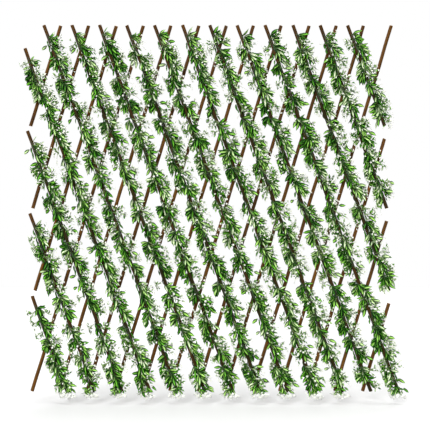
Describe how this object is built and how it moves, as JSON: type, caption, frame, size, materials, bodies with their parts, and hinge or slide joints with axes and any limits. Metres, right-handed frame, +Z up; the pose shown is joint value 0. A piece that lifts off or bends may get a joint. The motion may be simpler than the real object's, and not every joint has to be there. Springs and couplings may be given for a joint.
{
  "type": "expandable garden fence",
  "caption": "Scissor lattice screen of round willow rods pivoting on nails, dressed with leaf garlands and bunches of white artificial flowers.",
  "frame": {"origin": "on the axis of the nail in the middle of the second row, midway between the front and the back rods", "axes": "+X to the right along the rows of nails, +Y through the fence from its front to its back, +Z up"},
  "size_m": [1.1999, 0.0406, 1.1843],
  "materials": {
    "willow": "peeled and stained willow, satin",
    "foliage": "printed polyester leaves on a plastic stem, satin",
    "blossom": "matt white polyester petals"
  },
  "bodies": {
    "back_01": {"back_rod_01": "willow"},
    "back_02": {"back_rod_02": "willow"},
    "back_03": {"back_rod_03": "willow"},
    "back_04": {"back_rod_04": "willow"},
    "back_05": {"back_rod_05": "willow"},
    "back_06": {"back_rod_06": "willow"},
    "back_07": {"back_rod_07": "willow"},
    "back_08": {"back_rod_08": "willow"},
    "back_09": {"back_rod_09": "willow"},
    "back_10": {"back_rod_10": "willow"},
    "back_11": {"back_rod_11": "willow"},
    "back_12": {"back_rod_12": "willow"},
    "back_13": {"back_rod_13": "willow"},
    "back_14": {"back_rod_14": "willow"},
    "back_15": {"back_rod_15": "willow"},
    "back_16": {"back_rod_16": "willow"},
    "front_01": {"front_rod_01": "willow", "leaf_garland_01": "foliage", "flower_bunch_01": "blossom"},
    "front_02": {"front_rod_02": "willow", "leaf_garland_02": "foliage", "flower_bunch_02": "blossom"},
    "front_03": {"front_rod_03": "willow", "leaf_garland_03": "foliage", "flower_bunch_03": "blossom"},
    "front_04": {"front_rod_04": "willow", "leaf_garland_04": "foliage", "flower_bunch_04": "blossom"},
    "front_05": {"front_rod_05": "willow", "leaf_garland_05": "foliage", "flower_bunch_05": "blossom"},
    "front_06": {"front_rod_06": "willow", "leaf_garland_06": "foliage", "flower_bunch_06": "blossom"},
    "front_07": {"front_rod_07": "willow", "leaf_garland_07": "foliage", "flower_bunch_07": "blossom"},
    "front_08": {"front_rod_08": "willow", "leaf_garland_08": "foliage", "flower_bunch_08": "blossom"},
    "front_09": {"front_rod_09": "willow", "leaf_garland_09": "foliage", "flower_bunch_09": "blossom"},
    "front_10": {"front_rod_10": "willow", "leaf_garland_10": "foliage", "flower_bunch_10": "blossom"},
    "front_11": {"front_rod_11": "willow", "leaf_garland_11": "foliage", "flower_bunch_11": "blossom"},
    "front_12": {"front_rod_12": "willow", "leaf_garland_12": "foliage"},
    "front_13": {"front_rod_13": "willow", "leaf_garland_13": "foliage", "flower_bunch_12": "blossom"},
    "front_14": {"front_rod_14": "willow", "leaf_garland_14": "foliage"},
    "front_15": {"front_rod_15": "willow", "leaf_garland_15": "foliage"},
    "front_16": {"front_rod_16": "willow", "leaf_garland_16": "foliage"}
  },
  "joints": [
    {"name": "lattice_fold", "type": "hinge", "parent": "front_10", "child": "back_06", "pos_m": [-0.0473, 0, 0.13], "axis": [0, 1, 0], "range_deg": [-22, 33]},
    {"name": "back_07_pivot", "type": "hinge", "parent": "front_10", "child": "back_07", "pos_m": [0, 0, 0], "axis": [0, 1, 0], "range_deg": [-22, 33]},
    {"name": "back_08_pivot", "type": "hinge", "parent": "front_10", "child": "back_08", "pos_m": [0.0473, 0, -0.13], "axis": [0, 1, 0], "range_deg": [-22, 33]},
    {"name": "back_09_pivot", "type": "hinge", "parent": "front_10", "child": "back_09", "pos_m": [0.0946, 0, -0.26], "axis": [0, 1, 0], "range_deg": [-22, 33]},
    {"name": "back_10_pivot", "type": "hinge", "parent": "front_10", "child": "back_10", "pos_m": [0.1419, 0, -0.39], "axis": [0, 1, 0], "range_deg": [-22, 33]},
    {"name": "back_11_pivot", "type": "hinge", "parent": "front_10", "child": "back_11", "pos_m": [0.1892, 0, -0.52], "axis": [0, 1, 0], "range_deg": [-22, 33]},
    {"name": "back_12_pivot", "type": "hinge", "parent": "front_10", "child": "back_12", "pos_m": [0.2365, 0, -0.65], "axis": [0, 1, 0], "range_deg": [-22, 33]},
    {"name": "back_13_pivot", "type": "hinge", "parent": "front_10", "child": "back_13", "pos_m": [0.2838, 0, -0.78], "axis": [0, 1, 0], "range_deg": [-22, 33]},
    {"name": "back_14_pivot", "type": "hinge", "parent": "front_10", "child": "back_14", "pos_m": [0.3311, 0, -0.91], "axis": [0, 1, 0], "range_deg": [-22, 33]},
    {"name": "front_09_pivot", "type": "hinge", "parent": "back_06", "child": "front_09", "pos_m": [-0.087, 0, 0], "axis": [0, 1, 0], "range_deg": [-33, 22]},
    {"name": "front_08_pivot", "type": "hinge", "parent": "back_06", "child": "front_08", "pos_m": [-0.1267, 0, -0.13], "axis": [0, 1, 0], "range_deg": [-33, 22]},
    {"name": "front_07_pivot", "type": "hinge", "parent": "back_06", "child": "front_07", "pos_m": [-0.1664, 0, -0.26], "axis": [0, 1, 0], "range_deg": [-33, 22]},
    {"name": "front_06_pivot", "type": "hinge", "parent": "back_06", "child": "front_06", "pos_m": [-0.2061, 0, -0.39], "axis": [0, 1, 0], "range_deg": [-33, 22]},
    {"name": "front_05_pivot", "type": "hinge", "parent": "back_06", "child": "front_05", "pos_m": [-0.2458, 0, -0.52], "axis": [0, 1, 0], "range_deg": [-33, 22]},
    {"name": "front_04_pivot", "type": "hinge", "parent": "back_06", "child": "front_04", "pos_m": [-0.2855, 0, -0.65], "axis": [0, 1, 0], "range_deg": [-33, 22]},
    {"name": "front_03_pivot", "type": "hinge", "parent": "back_06", "child": "front_03", "pos_m": [-0.3252, 0, -0.78], "axis": [0, 1, 0], "range_deg": [-33, 22]},
    {"name": "front_02_pivot", "type": "hinge", "parent": "back_06", "child": "front_02", "pos_m": [-0.3649, 0, -0.91], "axis": [0, 1, 0], "range_deg": [-33, 22]},
    {"name": "front_11_pivot", "type": "hinge", "parent": "back_07", "child": "front_11", "pos_m": [0.0397, 0, 0.13], "axis": [0, 1, 0], "range_deg": [-33, 22]},
    {"name": "front_12_pivot", "type": "hinge", "parent": "back_08", "child": "front_12", "pos_m": [0.1267, 0, 0.13], "axis": [0, 1, 0], "range_deg": [-33, 22]},
    {"name": "front_13_pivot", "type": "hinge", "parent": "back_09", "child": "front_13", "pos_m": [0.2137, 0, 0.13], "axis": [0, 1, 0], "range_deg": [-33, 22]},
    {"name": "front_14_pivot", "type": "hinge", "parent": "back_10", "child": "front_14", "pos_m": [0.3007, 0, 0.13], "axis": [0, 1, 0], "range_deg": [-33, 22]},
    {"name": "front_15_pivot", "type": "hinge", "parent": "back_11", "child": "front_15", "pos_m": [0.3877, 0, 0.13], "axis": [0, 1, 0], "range_deg": [-33, 22]},
    {"name": "front_16_pivot", "type": "hinge", "parent": "back_12", "child": "front_16", "pos_m": [0.4747, 0, 0.13], "axis": [0, 1, 0], "range_deg": [-33, 22]},
    {"name": "back_05_pivot", "type": "hinge", "parent": "front_09", "child": "back_05", "pos_m": [-0.1343, 0, 0.13], "axis": [0, 1, 0], "range_deg": [-22, 33]},
    {"name": "back_04_pivot", "type": "hinge", "parent": "front_08", "child": "back_04", "pos_m": [-0.2213, 0, 0.13], "axis": [0, 1, 0], "range_deg": [-22, 33]},
    {"name": "back_03_pivot", "type": "hinge", "parent": "front_07", "child": "back_03", "pos_m": [-0.3083, 0, 0.13], "axis": [0, 1, 0], "range_deg": [-22, 33]},
    {"name": "back_02_pivot", "type": "hinge", "parent": "front_06", "child": "back_02", "pos_m": [-0.3953, 0, 0.13], "axis": [0, 1, 0], "range_deg": [-22, 33]},
    {"name": "back_01_pivot", "type": "hinge", "parent": "front_05", "child": "back_01", "pos_m": [-0.4823, 0, 0.13], "axis": [0, 1, 0], "range_deg": [-22, 33]},
    {"name": "back_15_pivot", "type": "hinge", "parent": "front_11", "child": "back_15", "pos_m": [0.4181, 0, -0.91], "axis": [0, 1, 0], "range_deg": [-22, 33]},
    {"name": "back_16_pivot", "type": "hinge", "parent": "front_12", "child": "back_16", "pos_m": [0.5051, 0, -0.91], "axis": [0, 1, 0], "range_deg": [-22, 33]},
    {"name": "front_01_pivot", "type": "hinge", "parent": "back_05", "child": "front_01", "pos_m": [-0.4519, 0, -0.91], "axis": [0, 1, 0], "range_deg": [-33, 22]}
  ],
  "couplings": [
    {"joint": "back_07_pivot", "follows": "lattice_fold", "ratio": 1},
    {"joint": "back_08_pivot", "follows": "lattice_fold", "ratio": 1},
    {"joint": "back_09_pivot", "follows": "lattice_fold", "ratio": 1},
    {"joint": "back_10_pivot", "follows": "lattice_fold", "ratio": 1},
    {"joint": "back_11_pivot", "follows": "lattice_fold", "ratio": 1},
    {"joint": "back_12_pivot", "follows": "lattice_fold", "ratio": 1},
    {"joint": "back_13_pivot", "follows": "lattice_fold", "ratio": 1},
    {"joint": "back_14_pivot", "follows": "lattice_fold", "ratio": 1},
    {"joint": "front_09_pivot", "follows": "lattice_fold", "ratio": -1},
    {"joint": "front_08_pivot", "follows": "lattice_fold", "ratio": -1},
    {"joint": "front_07_pivot", "follows": "lattice_fold", "ratio": -1},
    {"joint": "front_06_pivot", "follows": "lattice_fold", "ratio": -1},
    {"joint": "front_05_pivot", "follows": "lattice_fold", "ratio": -1},
    {"joint": "front_04_pivot", "follows": "lattice_fold", "ratio": -1},
    {"joint": "front_03_pivot", "follows": "lattice_fold", "ratio": -1},
    {"joint": "front_02_pivot", "follows": "lattice_fold", "ratio": -1},
    {"joint": "front_11_pivot", "follows": "lattice_fold", "ratio": -1},
    {"joint": "front_12_pivot", "follows": "lattice_fold", "ratio": -1},
    {"joint": "front_13_pivot", "follows": "lattice_fold", "ratio": -1},
    {"joint": "front_14_pivot", "follows": "lattice_fold", "ratio": -1},
    {"joint": "front_15_pivot", "follows": "lattice_fold", "ratio": -1},
    {"joint": "front_16_pivot", "follows": "lattice_fold", "ratio": -1},
    {"joint": "back_05_pivot", "follows": "lattice_fold", "ratio": 1},
    {"joint": "back_04_pivot", "follows": "lattice_fold", "ratio": 1},
    {"joint": "back_03_pivot", "follows": "lattice_fold", "ratio": 1},
    {"joint": "back_02_pivot", "follows": "lattice_fold", "ratio": 1},
    {"joint": "back_01_pivot", "follows": "lattice_fold", "ratio": 1},
    {"joint": "back_15_pivot", "follows": "lattice_fold", "ratio": 1},
    {"joint": "back_16_pivot", "follows": "lattice_fold", "ratio": 1},
    {"joint": "front_01_pivot", "follows": "lattice_fold", "ratio": -1}
  ]
}
